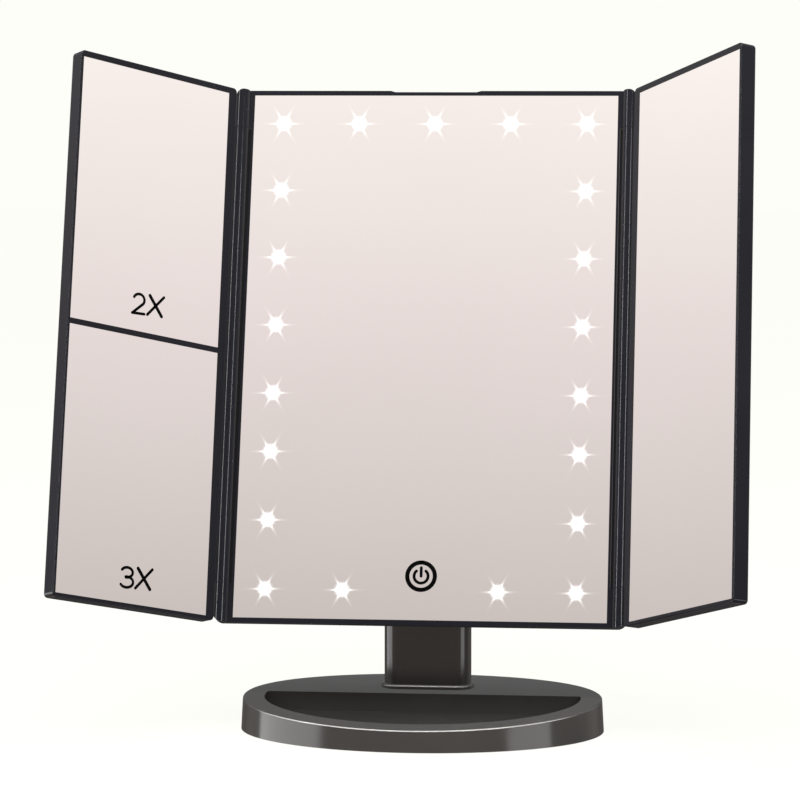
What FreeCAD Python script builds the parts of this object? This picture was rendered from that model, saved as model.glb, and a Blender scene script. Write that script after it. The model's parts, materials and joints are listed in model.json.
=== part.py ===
import FreeCAD, Part
import math
import os

# A table-top make-up mirror in three panels. The head leans back on a flat stem over an oval base with a
# tray, and a folding wing hangs on each side of the lit centre panel.
# The origin is the middle of the base's underside. +X is the width, -Y the front and +Z up. Sizes are in
# millimetres and angles in degrees.
#
# The head is drawn upright in its own frame (x across, y to the rear, z up the panel), with the middle of
# the centre glass's front face as origin. A wing is drawn folded flat (x away from its hinge line).

V = FreeCAD.Vector

# ---------------------------------------------------------------- driving dimensions
HEAD_TILT = 17.7
LEFT_FOLD = 44.0
RIGHT_FOLD = 54.3
HEAD_Y = 21.7
HEAD_Z = 165.3

GLASS_WIDTH = 165.0
GLASS_HEIGHT = 240.2
GLASS_THICK = 2.0
FRAME_MARGIN = 2.2
FRAME_LIP = 1.1
RIM_PROUD = 0.2
FRAME_DEPTH = 4.2
WEB_THICK = 1.6
CASE_DEPTH = 18.0
CASE_TAPER = 6.0
WALL = 1.6
NOTCH_WIDTH = 41.0
NOTCH_DEPTH = 0.6

HINGE_HALF = 88.1
HINGE_FORWARD = 0.7
BARREL_R = 3.1
BARREL_HALF = 104.6
EAR_GAP = 0.3
EAR_CORNER_R = 4.0
HINGE_PIN_R = 1.0
RUNNING_GAP = 0.05
PIN_IN_BARREL = 11.0
PIN_IN_EAR = 11.0

WING_START = 3.4
WING_GLASS_START = 7.7
WING_GLASS_WIDTH = 78.6
WING_GLASS_HALF = 119.9
WING_GLASS_DROP = 0.55
WING_OUTER_MARGIN = 1.4
WING_HALF_H = 122.3
WING_GLASS_THICK = 1.8
WING_THICK = 7.7
WING_FRAME_DEPTH = 3.6
WING_CORNER_R = 1.9
DIVIDER = 2.6

LAMP_X = 68.8
LAMP_TOP_Z = 106.7
LAMP_PITCH = 31.3
LAMP_SHORT_PITCH = 26.7
LAMP_LOW_PITCH = 31.0
LAMP_WINDOW_R = 3.4
BOARD_THICK = 1.2
BOARD_WIDTH = 10.0
TOUCH_Z = -100.5

BASE_HALF_WIDTH = 79.7
BASE_HALF_DEPTH = 60.4
BASE_FLARE = 0.9
BASE_HEIGHT = 14.6
BASE_TOP_SLOPE = 0.0437
BASE_TOP_CROWN = 0.000565
PAD_THICK = 0.6
TRAY_RIM = 9.4
TRAY_REAR = 6.1
TRAY_FLOOR = 6.6

STEM_WIDTH = 38.8
STEM_DEPTH = 16.6
STEM_Y = 25.0
STEM_CORNER_R = 6.5
STEM_WALL = 2.2
PIVOT_BEHIND = 30.0
KNUCKLE_R = 7.5
KNUCKLE_HALF = 9.6
SHOULDER_DROP = 13.0
BOLT_R = 2.0

SMALL_BORE_R = 1.1
SMALL_HEAD_R = 1.9
MAIN_BORE_R = 1.4
MAIN_HEAD_R = 2.6
COVER_SCREW_SEAT = 14.2
WING_SCREW_SEAT = 6.2
FAR = 100.0

# ---------------------------------------------------------------- sizes that follow from them
TILT = math.radians(HEAD_TILT)
HALF_GLASS = GLASS_HEIGHT / 2
CASE_HALF_W = GLASS_WIDTH / 2 + FRAME_LIP
CASE_HALF_H = HALF_GLASS + FRAME_MARGIN
EAR_START = BARREL_HALF + EAR_GAP
WING_END = WING_GLASS_START + WING_GLASS_WIDTH + WING_OUTER_MARGIN
LAMP_SIDE_ZS = [LAMP_TOP_Z - LAMP_PITCH * i for i in range(1, 5)]
LAMP_SIDE_ZS += [LAMP_SIDE_ZS[-1] - LAMP_SHORT_PITCH - LAMP_LOW_PITCH * i for i in range(2)]
LAMP_BOTTOM_Z = LAMP_SIDE_ZS[-1] - LAMP_LOW_PITCH
PIVOT_LOCAL_Z = (STEM_Y - HEAD_Y - PIVOT_BEHIND * math.cos(TILT)) / math.sin(TILT)
PIVOT_Z = HEAD_Z + PIVOT_LOCAL_Z * math.cos(TILT) - PIVOT_BEHIND * math.sin(TILT)
SHOULDER_Z = PIVOT_Z - SHOULDER_DROP

HEAD = FreeCAD.Placement(V(0, HEAD_Y, HEAD_Z), FreeCAD.Rotation(V(1, 0, 0), -HEAD_TILT))
parts = {}


# ---------------------------------------------------------------- helpers
def box(x0, x1, y0, y1, z0, z1):
    return Part.makeBox(x1 - x0, y1 - y0, z1 - z0, V(x0, y0, z0))


def rod(r, start, end):
    """A round bar between two points."""
    run = end - start
    return Part.makeCylinder(r, run.Length, start, run)


def ring(r_out, r_in, start, end):
    return rod(r_out, start, end).cut(rod(r_in, start, end))


def edges_along(shape, axis):
    """The straight edges of a block that run along one axis."""
    found = []
    for edge in shape.Edges:
        run = edge.Vertexes[-1].Point - edge.Vertexes[0].Point
        if abs(run.normalize().dot(axis)) > 0.999:
            found.append(edge)
    return found


def rounded(block, r, axis):
    return block.makeFillet(r, edges_along(block, axis))


def rim_fillet(block, r, y):
    """Rounds the whole outline of a block where it meets the plane at y."""
    rim = [e for e in block.Edges if all(abs(v.Point.y - y) < 1e-6 for v in e.Vertexes)]
    return block.makeFillet(r, rim)


def fuse(shapes):
    return shapes[0].multiFuse(shapes[1:]).removeSplitter()


def group(shapes):
    """Several separate solids kept as one node."""
    return Part.makeCompound(shapes)


def outline_xz(half_w, half_h, r, y):
    """A rectangle with round corners, standing in the plane at y."""
    slab = rounded(box(-half_w, half_w, y, y + 1, -half_h, half_h), r, V(0, 1, 0))
    face = [f for f in slab.Faces if all(abs(v.Point.y - y) < 1e-6 for v in f.Vertexes)][0]
    return face.OuterWire


def oval(half_w, half_d, z):
    ellipse = Part.Ellipse(V(0, 0, z), half_w, half_d)
    return Part.Wire([ellipse.toShape()])


def oval_block(half_w, half_d, z0, z1):
    return Part.Face(oval(half_w, half_d, z0)).extrude(V(0, 0, z1 - z0))


def on_head(shape):
    placed = shape.copy()
    placed.Placement = HEAD.multiply(placed.Placement)
    return placed


def on_wing(shape, side):
    """Places a piece drawn for the right wing, mirrored first where side is -1."""
    placed = shape.copy() if side > 0 else shape.mirror(V(0, 0, 0), V(1, 0, 0))
    fold = RIGHT_FOLD if side > 0 else -LEFT_FOLD
    hinge = FreeCAD.Placement(V(side * HINGE_HALF, -HINGE_FORWARD, 0), FreeCAD.Rotation(V(0, 0, 1), -fold))
    placed.Placement = HEAD.multiply(hinge).multiply(placed.Placement)
    return placed


def screw(start, direction, head_r, head_h, shank_r, length):
    """A pan-head screw: start is the middle of the head's seat, direction points along the shank."""
    head = Part.makeCylinder(head_r, head_h, start, direction * -1)
    shank = Part.makeCylinder(shank_r, length, start, direction)
    driver = Part.makeCylinder(head_r * 0.45, head_h * 0.5, start - direction * head_h, direction)
    return head.fuse(shank).cut(driver)


# ---------------------------------------------------------------- base
def base_top(y):
    return BASE_HEIGHT + BASE_TOP_SLOPE * y - BASE_TOP_CROWN * y * y


def under_top(drop, y0, y1):
    """Everything between the floor and the base's crowned top, lowered by drop, from y0 to y1."""
    mid = (y0 + y1) / 2
    front, middle, rear = [V(-FAR, y, base_top(y) - drop) for y in (y0, mid, y1)]
    crown = Part.Arc(front, middle, rear).toShape()
    corners = [rear, V(-FAR, y1, 0), V(-FAR, y0, 0), front]
    sides = [Part.LineSegment(a, b).toShape() for a, b in zip(corners, corners[1:])]
    return Part.Face(Part.Wire([crown] + sides)).extrude(V(2 * FAR, 0, 0))


TOP_REACH = 70.0
BASE_SCREWS = [(sx * 62.0, sy) for sx in (-1, 1) for sy in (-22.0, 28.0)]
STEM_SCREW_XS = (-10.0, 10.0)
PLATE_TOP = PAD_THICK + 1.8
SHELL_WALL = 2.4
TRAY_SKIN = 1.8
SHELL_BOTTOM = 0.25
COLLAR_TOP = base_top(STEM_Y) + 1.7
COLLAR_GROW = 1.4


def make_base_shell():
    height = BASE_HEIGHT + 2
    top_oval = oval(BASE_HALF_WIDTH, BASE_HALF_DEPTH, height)
    bottom_oval = oval(BASE_HALF_WIDTH + BASE_FLARE, BASE_HALF_DEPTH + BASE_FLARE, SHELL_BOTTOM)
    outer = Part.makeLoft([bottom_oval, top_oval], True, True).common(under_top(0, -TOP_REACH, TOP_REACH))
    crest = [e for e in outer.Edges if e.BoundBox.ZMin > 5 and e.BoundBox.XLength > 50]
    outer = outer.makeFillet(0.7, crest)
    tray = oval_block(BASE_HALF_WIDTH - TRAY_RIM, BASE_HALF_DEPTH - TRAY_RIM, TRAY_FLOOR, 30)
    tray = tray.common(box(-FAR, FAR, -FAR, TRAY_REAR, 0, 40))
    cavity = oval_block(BASE_HALF_WIDTH - SHELL_WALL, BASE_HALF_DEPTH - SHELL_WALL, 0, 30)
    tray_underside = TRAY_FLOOR - TRAY_SKIN
    front_cavity = cavity.common(box(-FAR, FAR, -FAR, TRAY_REAR + SHELL_WALL, 0, tray_underside))
    rear_cavity = cavity.common(box(-FAR, FAR, TRAY_REAR + SHELL_WALL, FAR, 0, 30))
    rear_cavity = rear_cavity.common(under_top(SHELL_WALL, -TOP_REACH, TOP_REACH))
    shell = outer.cut(tray).cut(front_cavity.fuse(rear_cavity))
    for x, y in BASE_SCREWS:
        roof = base_top(y) - 1.5 if y > TRAY_REAR else TRAY_FLOOR - 1
        shell = shell.fuse(rod(3.4, V(x, y, PLATE_TOP), V(x, y, roof)))
        shell = shell.cut(rod(1.4, V(x, y, 0), V(x, y, PLATE_TOP + 2.2)))
    for x in STEM_SCREW_XS:
        shell = shell.cut(rod(1.6, V(x, STEM_Y, 5), V(x, STEM_Y, 20)))
    return shell.removeSplitter()


def make_base_plate():
    inset = SHELL_WALL + 0.15
    plate = oval_block(BASE_HALF_WIDTH - inset, BASE_HALF_DEPTH - inset, PAD_THICK, PLATE_TOP)
    for x, y in BASE_SCREWS:
        plate = plate.cut(rod(1.5, V(x, y, 0), V(x, y, 5)))
        plate = plate.cut(rod(3.0, V(x, y, 0), V(x, y, PAD_THICK + 0.9)))
    return plate


def make_counterweight():
    inset = SHELL_WALL + 1.2
    top = TRAY_FLOOR - TRAY_SKIN - 0.1
    weight = oval_block(BASE_HALF_WIDTH - inset, BASE_HALF_DEPTH - inset, PLATE_TOP, top)
    block = oval_block(BASE_HALF_WIDTH - 12, BASE_HALF_DEPTH - 8, PLATE_TOP, 10.2)
    weight = weight.fuse(block.common(box(-50, 50, TRAY_REAR + 4, 60, 0, 20)))
    for x, y in BASE_SCREWS:
        weight = weight.cut(rod(4.0, V(x, y, 0), V(x, y, 20)))
    for x in STEM_SCREW_XS:
        weight = weight.cut(rod(4.0, V(x, STEM_Y, 0), V(x, STEM_Y, 20)))
    return weight.removeSplitter()


def make_base():
    parts["base_shell"] = make_base_shell()
    parts["base_plate"] = make_base_plate()
    parts["counterweight"] = make_counterweight()
    parts["anti_slip_pad"] = oval_block(BASE_HALF_WIDTH - 3.5, BASE_HALF_DEPTH - 3.5, 0, PAD_THICK)
    screws = [screw(V(x, y, PAD_THICK + 0.9), V(0, 0, 1), 2.8, 0.9, 1.4, 2.9) for x, y in BASE_SCREWS]
    parts["base_screws"] = group(screws)


# ---------------------------------------------------------------- stem
def stem_block(grow, z0, z1):
    half_w = STEM_WIDTH / 2 + grow
    half_d = STEM_DEPTH / 2 + grow
    block = box(-half_w, half_w, STEM_Y - half_d, STEM_Y + half_d, z0, z1)
    return rounded(block, STEM_CORNER_R + grow, V(0, 0, 1))


STEM_BOTTOM = base_top(STEM_Y)
NECK_HALF_D = 5.5
NECK_BOTTOM = SHOULDER_Z - 24
FOOT_BLOCK_TOP = STEM_BOTTOM + 14
SHELL_SCREW_ZS = (NECK_BOTTOM + 6, NECK_BOTTOM + 17)


def neck_block():
    """The part of the knuckle that stands inside the top of the stem."""
    half_w = KNUCKLE_HALF
    return box(-half_w, half_w, STEM_Y - NECK_HALF_D, STEM_Y + NECK_HALF_D, NECK_BOTTOM, PIVOT_Z)


def make_stem_shell():
    """The whole hollow stem, before it is split into its two halves."""
    outer = stem_block(0, STEM_BOTTOM, SHOULDER_Z)
    shoulder = [e for e in outer.Edges if e.BoundBox.ZMin > SHOULDER_Z - 0.01]
    outer = outer.makeFillet(1.8, shoulder)
    hollow = stem_block(-STEM_WALL, 0, SHOULDER_Z - STEM_WALL)
    shell = outer.cut(hollow).cut(neck_block()).cut(under_top(0, -TOP_REACH, TOP_REACH))
    front = STEM_Y - STEM_DEPTH / 2
    rear = STEM_Y + STEM_DEPTH / 2
    for z in SHELL_SCREW_ZS:
        shell = shell.fuse(rod(3.6, V(0, front + 1, z), V(0, STEM_Y - NECK_HALF_D, z)))
        shell = shell.fuse(rod(3.6, V(0, STEM_Y + NECK_HALF_D, z), V(0, rear - 0.5, z)))
        shell = shell.cut(rod(1.4, V(0, front + 1.6, z), V(0, rear - 1.6, z)))
        shell = shell.cut(rod(2.6, V(0, rear - 1.6, z), V(0, rear + 1, z)))
    return shell


def make_stem():
    shell = make_stem_shell()
    split = 60
    parts["stem_front"] = shell.common(box(-split, split, STEM_Y - split, STEM_Y, 0, 2 * split))
    parts["stem_rear"] = shell.common(box(-split, split, STEM_Y, STEM_Y + split, 0, 2 * split))

    collar = stem_block(COLLAR_GROW, STEM_BOTTOM - 1, COLLAR_TOP)
    crest = [e for e in collar.Edges if e.BoundBox.ZMin > COLLAR_TOP - 0.01]
    collar = collar.makeFillet(0.9, crest).cut(stem_block(0, 0, COLLAR_TOP + 5))
    parts["stem_collar"] = collar.cut(under_top(0, -TOP_REACH, TOP_REACH))

    block = rounded(box(-15, 15, STEM_Y - 5, STEM_Y + 5, STEM_BOTTOM + 0.2, FOOT_BLOCK_TOP), 2, V(0, 0, 1))
    for x in STEM_SCREW_XS:
        block = block.cut(rod(1.4, V(x, STEM_Y, 0), V(x, STEM_Y, FOOT_BLOCK_TOP - 2)))
    parts["stem_foot_block"] = block
    roof = STEM_BOTTOM - SHELL_WALL - 0.2
    screws = [screw(V(x, STEM_Y, roof), V(0, 0, 1), 2.8, 1.6, 1.4, 11) for x in STEM_SCREW_XS]
    parts["stem_screws"] = group(screws)

    axis_end = V(KNUCKLE_HALF, STEM_Y, PIVOT_Z)
    axis_start = V(-KNUCKLE_HALF, STEM_Y, PIVOT_Z)
    knuckle = fuse([rod(KNUCKLE_R, axis_start, axis_end), neck_block()])
    knuckle = knuckle.cut(rod(BOLT_R + RUNNING_GAP, axis_start, axis_end))
    for z in SHELL_SCREW_ZS:
        knuckle = knuckle.cut(rod(1.4, V(0, STEM_Y - 10, z), V(0, STEM_Y + 10, z)))
    parts["tilt_knuckle"] = knuckle
    rear = STEM_Y + STEM_DEPTH / 2 - 1.6
    screws = [screw(V(0, rear, z), V(0, -1, 0), 2.4, 1.3, 1.4, 13) for z in SHELL_SCREW_ZS]
    parts["stem_shell_screws"] = group(screws)


# ---------------------------------------------------------------- tilt hinge on the back of the head
EAR_IN = KNUCKLE_HALF + 0.6
EAR_OUT = EAR_IN + 5.0
BRACKET_BACK = CASE_DEPTH + 2.4
BRACKET_LOW = PIVOT_LOCAL_Z - 10.4
BRACKET_HIGH = PIVOT_LOCAL_Z + 18.6
BRACKET_SCREW_ROWS = [(6.0, BRACKET_LOW + 2.8), (13.2, BRACKET_HIGH - 3.4)]
BRACKET_SCREWS = [(sx * x, z) for sx in (-1, 1) for x, z in BRACKET_SCREW_ROWS]
NUT_HEIGHT = 3.0
NUT_R = 3.9


def across(x):
    """A point on the tilt axis, in the head's frame."""
    return V(x, PIVOT_BEHIND, PIVOT_LOCAL_Z)


def make_tilt_hinge():
    plate = box(-17.5, 17.5, CASE_DEPTH, BRACKET_BACK, BRACKET_LOW, BRACKET_HIGH)
    bracket = rounded(plate, 3, V(0, 1, 0))
    for side in (-1, 1):
        near = min(side * EAR_IN, side * EAR_OUT)
        far = max(side * EAR_IN, side * EAR_OUT)
        ear = rod(8.0, across(near), across(far))
        web = box(near, far, CASE_DEPTH, PIVOT_BEHIND, PIVOT_LOCAL_Z - 6, PIVOT_LOCAL_Z + 7.4)
        bracket = bracket.fuse([ear, web])
    bracket = bracket.cut(rod(BOLT_R, across(-EAR_OUT), across(EAR_OUT)))
    for x, z in BRACKET_SCREWS:
        bracket = bracket.cut(rod(MAIN_BORE_R, V(x, CASE_DEPTH, z), V(x, BRACKET_BACK, z)))
    parts["tilt_bracket"] = on_head(bracket.removeSplitter())
    screws = [screw(V(x, BRACKET_BACK, z), V(0, -1, 0), 2.4, 1.4, 1.4, 6.2) for x, z in BRACKET_SCREWS]
    parts["bracket_screws"] = on_head(group(screws))

    bolt = rod(BOLT_R, across(-EAR_OUT - NUT_HEIGHT), across(EAR_OUT))
    bolt = bolt.fuse(rod(3.6, across(EAR_OUT), across(EAR_OUT + 2.4)))
    bolt = bolt.cut(rod(1.5, across(EAR_OUT + 1.2), across(EAR_OUT + 3)))
    parts["tilt_bolt"] = on_head(bolt.removeSplitter())
    turns = [math.radians(60 * i) for i in range(7)]
    hexagon = [across(-EAR_OUT) + V(0, NUT_R * math.cos(a), NUT_R * math.sin(a)) for a in turns]
    nut = Part.Face(Part.makePolygon(hexagon)).extrude(V(-NUT_HEIGHT, 0, 0))
    parts["tilt_nut"] = on_head(nut.cut(rod(BOLT_R, across(-EAR_OUT - NUT_HEIGHT), across(-EAR_OUT))))
    washers = []
    for side in (-1, 1):
        washers.append(ring(6.5, BOLT_R + 0.1, across(side * (EAR_IN - 0.5)), across(side * EAR_IN)))
    parts["friction_washers"] = on_head(group(washers))


# ---------------------------------------------------------------- centre panel
WEB_FRONT = FRAME_DEPTH - WEB_THICK
LAMPS = [(x * LAMP_X / 2, LAMP_TOP_Z) for x in (-2, -1, 0, 1, 2)]
LAMPS += [(side * LAMP_X, z) for side in (-1, 1) for z in LAMP_SIDE_ZS]
LAMPS += [(x * LAMP_X / 2, LAMP_BOTTOM_Z) for x in (-2, -1, 1, 2)]
COVER_SCREWS = [(sx * 57.0, z) for sx in (-1, 1) for z in (-92.0, 0.0, 94.0)]
BOARD_POSTS = [(-21.0, 58.0), (21.0, 58.0), (0.0, 34.0)]
BOARD_FRONT = 9.0
BOARD_BACK = BOARD_FRONT + 1.4


def make_ear(side, end):
    """The fixed barrel at one corner of the centre frame, and the block that joins it to the frame."""
    z0, z1 = sorted((end * EAR_START, end * CASE_HALF_H))
    hinge_x = side * HINGE_HALF
    outer_x = side * (HINGE_HALF + BARREL_R)
    inner_x = side * (CASE_HALF_W - 0.6)
    barrel = rod(BARREL_R, V(hinge_x, -HINGE_FORWARD, z0), V(hinge_x, -HINGE_FORWARD, z1))
    web = box(min(inner_x, hinge_x), max(inner_x, hinge_x), -RIM_PROUD, FRAME_DEPTH, z0, z1)
    cheek = box(min(outer_x, hinge_x), max(outer_x, hinge_x), -HINGE_FORWARD, FRAME_DEPTH, z0, z1)
    return barrel.fuse([web, cheek])


def make_centre_frame():
    frame = box(-CASE_HALF_W, CASE_HALF_W, -RIM_PROUD, FRAME_DEPTH, -CASE_HALF_H, CASE_HALF_H)
    ears = [make_ear(side, end) for side in (-1, 1) for end in (-1, 1)]
    reach = HINGE_HALF - 0.7
    flange = box(-reach, reach, FRAME_DEPTH - 1.3, FRAME_DEPTH, -CASE_HALF_H, CASE_HALF_H)
    frame = frame.fuse(ears + [flange])
    wide = HINGE_HALF + BARREL_R
    outline = rounded(box(-wide, wide, -10, 10, -CASE_HALF_H, CASE_HALF_H), EAR_CORNER_R, V(0, 1, 0))
    frame = frame.common(outline)

    half_w = GLASS_WIDTH / 2 + 0.1
    half_h = HALF_GLASS + 0.1
    frame = frame.cut(box(-half_w, half_w, -5, WEB_FRONT, -half_h, half_h))
    half_notch = NOTCH_WIDTH / 2
    low = CASE_HALF_H - NOTCH_DEPTH
    high = CASE_HALF_H + 1
    notch_points = [V(-half_notch, -5, high), V(-half_notch, -5, CASE_HALF_H), V(2 - half_notch, -5, low),
                    V(half_notch - 2, -5, low), V(half_notch, -5, CASE_HALF_H), V(half_notch, -5, high)]
    notch = Part.Face(Part.makePolygon(notch_points + notch_points[:1])).extrude(V(0, 20, 0))
    frame = frame.cut(notch)

    cutters = [rod(LAMP_WINDOW_R + 0.2, V(x, 0, z), V(x, FRAME_DEPTH, z)) for x, z in LAMPS]
    cutters.append(rod(1.5, V(0, 0, TOUCH_Z - 4), V(0, FRAME_DEPTH, TOUCH_Z - 4)))
    for side in (-1, 1):
        for end in (-1, 1):
            root = V(side * HINGE_HALF, -HINGE_FORWARD, end * EAR_START)
            cutters.append(rod(HINGE_PIN_R, root, root + V(0, 0, end * PIN_IN_EAR)))
    frame = frame.cut(cutters)

    posts = [rod(3.2, V(x, FRAME_DEPTH - 0.5, z), V(x, 11.9, z)) for x, z in COVER_SCREWS]
    posts += [rod(2.6, V(x, FRAME_DEPTH - 0.5, z), V(x, BOARD_FRONT, z)) for x, z in BOARD_POSTS]
    frame = frame.fuse(posts)
    holes = [rod(MAIN_BORE_R, V(x, 5.6, z), V(x, 12, z)) for x, z in COVER_SCREWS]
    holes += [rod(SMALL_BORE_R, V(x, 5.6, z), V(x, 10, z)) for x, z in BOARD_POSTS]
    return frame.cut(holes).removeSplitter()


def make_glass():
    glass = box(-GLASS_WIDTH / 2, GLASS_WIDTH / 2, 0, GLASS_THICK, -HALF_GLASS, HALF_GLASS)
    windows = [rod(LAMP_WINDOW_R, V(x, 0, z), V(x, GLASS_THICK, z)) for x, z in LAMPS]
    parts["centre_mirror"] = on_head(glass.cut(windows))
    parts["lamp_windows"] = on_head(group(windows))
    strips = [box(x - 12, x + 12, GLASS_THICK, WEB_FRONT, -88, 88) for x in (-42, 0, 42)]
    parts["mirror_tape"] = on_head(group(strips))


def make_lamp_boards():
    half = BOARD_WIDTH / 2
    y0 = FRAME_DEPTH
    y1 = FRAME_DEPTH + BOARD_THICK
    long_half = LAMP_X + half
    side_low = LAMP_BOTTOM_Z + half + 1
    side_high = LAMP_TOP_Z - half - 1
    for name, z in (("lamp_board_top", LAMP_TOP_Z), ("lamp_board_bottom", LAMP_BOTTOM_Z)):
        parts[name] = on_head(box(-long_half, long_half, y0, y1, z - half, z + half))
    for side, name in ((-1, "lamp_board_left"), (1, "lamp_board_right")):
        middle = side * LAMP_X
        parts[name] = on_head(box(middle - half, middle + half, y0, y1, side_low, side_high))
    chips = [box(x - 2.5, x + 2.5, FRAME_DEPTH - 1.3, FRAME_DEPTH, z - 2.5, z + 2.5) for x, z in LAMPS]
    parts["lamps"] = on_head(group(chips))
    pad = rod(7.0, V(0, GLASS_THICK, TOUCH_Z), V(0, WEB_FRONT - 0.1, TOUCH_Z))
    pin = rod(1.0, V(0, WEB_FRONT - 0.3, TOUCH_Z - 4), V(0, FRAME_DEPTH, TOUCH_Z - 4))
    parts["touch_electrode"] = on_head(pad.fuse(pin).removeSplitter())


# ---------------------------------------------------------------- rear cover, batteries, switch and inlet
BAY_HALF_W = 25.4
BAY_LOW = -36.0
BAY_HIGH = 18.0
BAY_BACK = CASE_DEPTH - 1.7
CELL_R = 5.25
CELL_LENGTH = 44.5
SPRING_R = 2.8
SPRING_TURNS = 3
SPRING_WIRE_R = 0.3
CELL_XS = [11.2 * (i - 1.5) for i in range(4)]
CELL_Y = FRAME_DEPTH + 0.8 + CELL_R + 0.1
DOOR_HALF_W = 28.0
DOOR_LOW = BAY_LOW - 3.6
DOOR_HIGH = BAY_HIGH + 3.6
DOOR_THICK = 1.4
DOOR_GAP = 0.35
SWITCH_X = -12.0
SWITCH_Z = 46.0
SWITCH_TRAVEL = 2.4
KNOB_HALF_W = 2.0
INLET_X = 14.0
INLET_HALF_W = 4.0
INLET_HALF_H = 1.5
WIRE_R = 0.6


def tapered_block(half_w, half_h, front_r, back, back_r):
    """A block from the frame's back to the plane at back, which is smaller by the case's taper."""
    front_outline = outline_xz(half_w, half_h, front_r, FRAME_DEPTH)
    back_outline = outline_xz(half_w - CASE_TAPER, half_h - CASE_TAPER, back_r, back)
    return Part.makeLoft([front_outline, back_outline], True, True)


def make_rear_cover():
    wide = CASE_HALF_W - 0.1
    tall = CASE_HALF_H - 0.2
    outer = tapered_block(wide, tall, 3, CASE_DEPTH, 8)
    outer = rim_fillet(outer, 2.5, CASE_DEPTH)
    cover = outer.cut(tapered_block(wide - WALL, tall - WALL, 2, CASE_DEPTH - WALL, 6))
    ledge = box(-DOOR_HALF_W - 2, DOOR_HALF_W + 2, 14.8, CASE_DEPTH - 0.5, DOOR_LOW - 2, DOOR_HIGH + 2)
    pad = box(-20, 20, CASE_DEPTH - 6, CASE_DEPTH - 0.5, BRACKET_LOW - 2, BRACKET_HIGH + 2)
    bosses = [rod(4.4, V(x, 11.9, z), V(x, CASE_DEPTH - 0.5, z)) for x, z in COVER_SCREWS]
    cover = cover.fuse([ledge, pad] + bosses)

    half = DOOR_HALF_W + DOOR_GAP
    recess = box(-half, half, CASE_DEPTH - DOOR_THICK, 30, DOOR_LOW - DOOR_GAP, DOOR_HIGH + DOOR_GAP)
    bay = box(-BAY_HALF_W - 0.2, BAY_HALF_W + 0.2, 0, 30, BAY_LOW - 0.2, BAY_HIGH + 0.2)
    thumb = rod(6.0, V(0, CASE_DEPTH - DOOR_THICK, DOOR_HIGH), V(0, CASE_DEPTH + 2, DOOR_HIGH))
    slot_x0 = SWITCH_X - KNOB_HALF_W - SWITCH_TRAVEL - 0.4
    slot = box(slot_x0, SWITCH_X + KNOB_HALF_W + 0.4, 10, 30, SWITCH_Z - 1.9, SWITCH_Z + 1.9)
    inlet = box(INLET_X - INLET_HALF_W - 0.2, INLET_X + INLET_HALF_W + 0.2, 10, 30,
                SWITCH_Z - INLET_HALF_H - 0.2, SWITCH_Z + INLET_HALF_H + 0.2)
    cutters = [recess, bay, thumb, slot, inlet]
    for x, z in COVER_SCREWS:
        cutters.append(rod(MAIN_HEAD_R + 0.3, V(x, COVER_SCREW_SEAT, z), V(x, 30, z)))
        cutters.append(rod(1.6, V(x, 10, z), V(x, 15, z)))
    cutters += [rod(MAIN_BORE_R, V(x, CASE_DEPTH - 4.2, z), V(x, 30, z)) for x, z in BRACKET_SCREWS]
    return cover.cut(cutters).removeSplitter()


def make_spring(length):
    """A contact spring of eight-sided wire, wound upwards from the origin."""
    coil = Part.makeHelix(length / SPRING_TURNS, length, SPRING_R)
    turns = [math.radians(45 * i) for i in range(9)]
    corners = [V(SPRING_R + SPRING_WIRE_R * math.cos(a), 0, SPRING_WIRE_R * math.sin(a)) for a in turns]
    return Part.Wire(coil.Edges).makePipeShell([Part.makePolygon(corners)], True, True)


def make_battery_bay():
    tray = box(-BAY_HALF_W, BAY_HALF_W, FRAME_DEPTH, BAY_BACK, BAY_LOW, BAY_HIGH)
    low = BAY_LOW + 1.3
    high = BAY_HIGH - 1.3
    tray = tray.cut(box(1.5 - BAY_HALF_W, BAY_HALF_W - 1.5, FRAME_DEPTH + 0.8, 30, low, high))
    parts["battery_tray"] = on_head(tray)
    cells = []
    springs = []
    plates = []
    for i, x in enumerate(CELL_XS):
        up = 1 if i % 2 else -1
        nub_end = high - 0.4 if up > 0 else low + 0.4
        flat_end = nub_end - up * CELL_LENGTH
        can = rod(CELL_R, V(x, CELL_Y, nub_end - up), V(x, CELL_Y, flat_end))
        nub = rod(1.9, V(x, CELL_Y, nub_end - up), V(x, CELL_Y, nub_end))
        cells.append(can.fuse(nub).removeSplitter())
        wall = low + 0.4 if up > 0 else high - 0.4
        clear = SPRING_WIRE_R + 0.05
        spring = make_spring(abs(flat_end - wall) - 2 * clear)
        spring.translate(V(x, CELL_Y, min(wall, flat_end) + clear))
        springs.append(spring)
        for z0 in (low, high - 0.4):
            plates.append(box(x - 4.4, x + 4.4, CELL_Y - 4.4, CELL_Y + 4.4, z0, z0 + 0.4))
    parts["battery_cells"] = on_head(group(cells))
    parts["battery_springs"] = on_head(group(springs))
    parts["battery_contacts"] = on_head(group(plates))


def make_battery_door():
    y0 = CASE_DEPTH - DOOR_THICK + 0.05
    y1 = CASE_DEPTH
    half = (y1 - y0) / 2
    axis = V(DOOR_HALF_W, y0 + half, DOOR_LOW + half)
    knuckle = rod(half, V(-DOOR_HALF_W, axis.y, axis.z), axis)
    leaf = box(-DOOR_HALF_W, DOOR_HALF_W, y0, y1, DOOR_LOW + half, DOOR_HIGH)
    grips = [box(-8, 8, y1, y1 + 0.5, z, z + 0.8) for z in [DOOR_HIGH - 9 + 1.8 * i for i in range(4)]]
    parts["battery_door"] = on_head(leaf.fuse([knuckle] + grips).removeSplitter())


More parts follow.
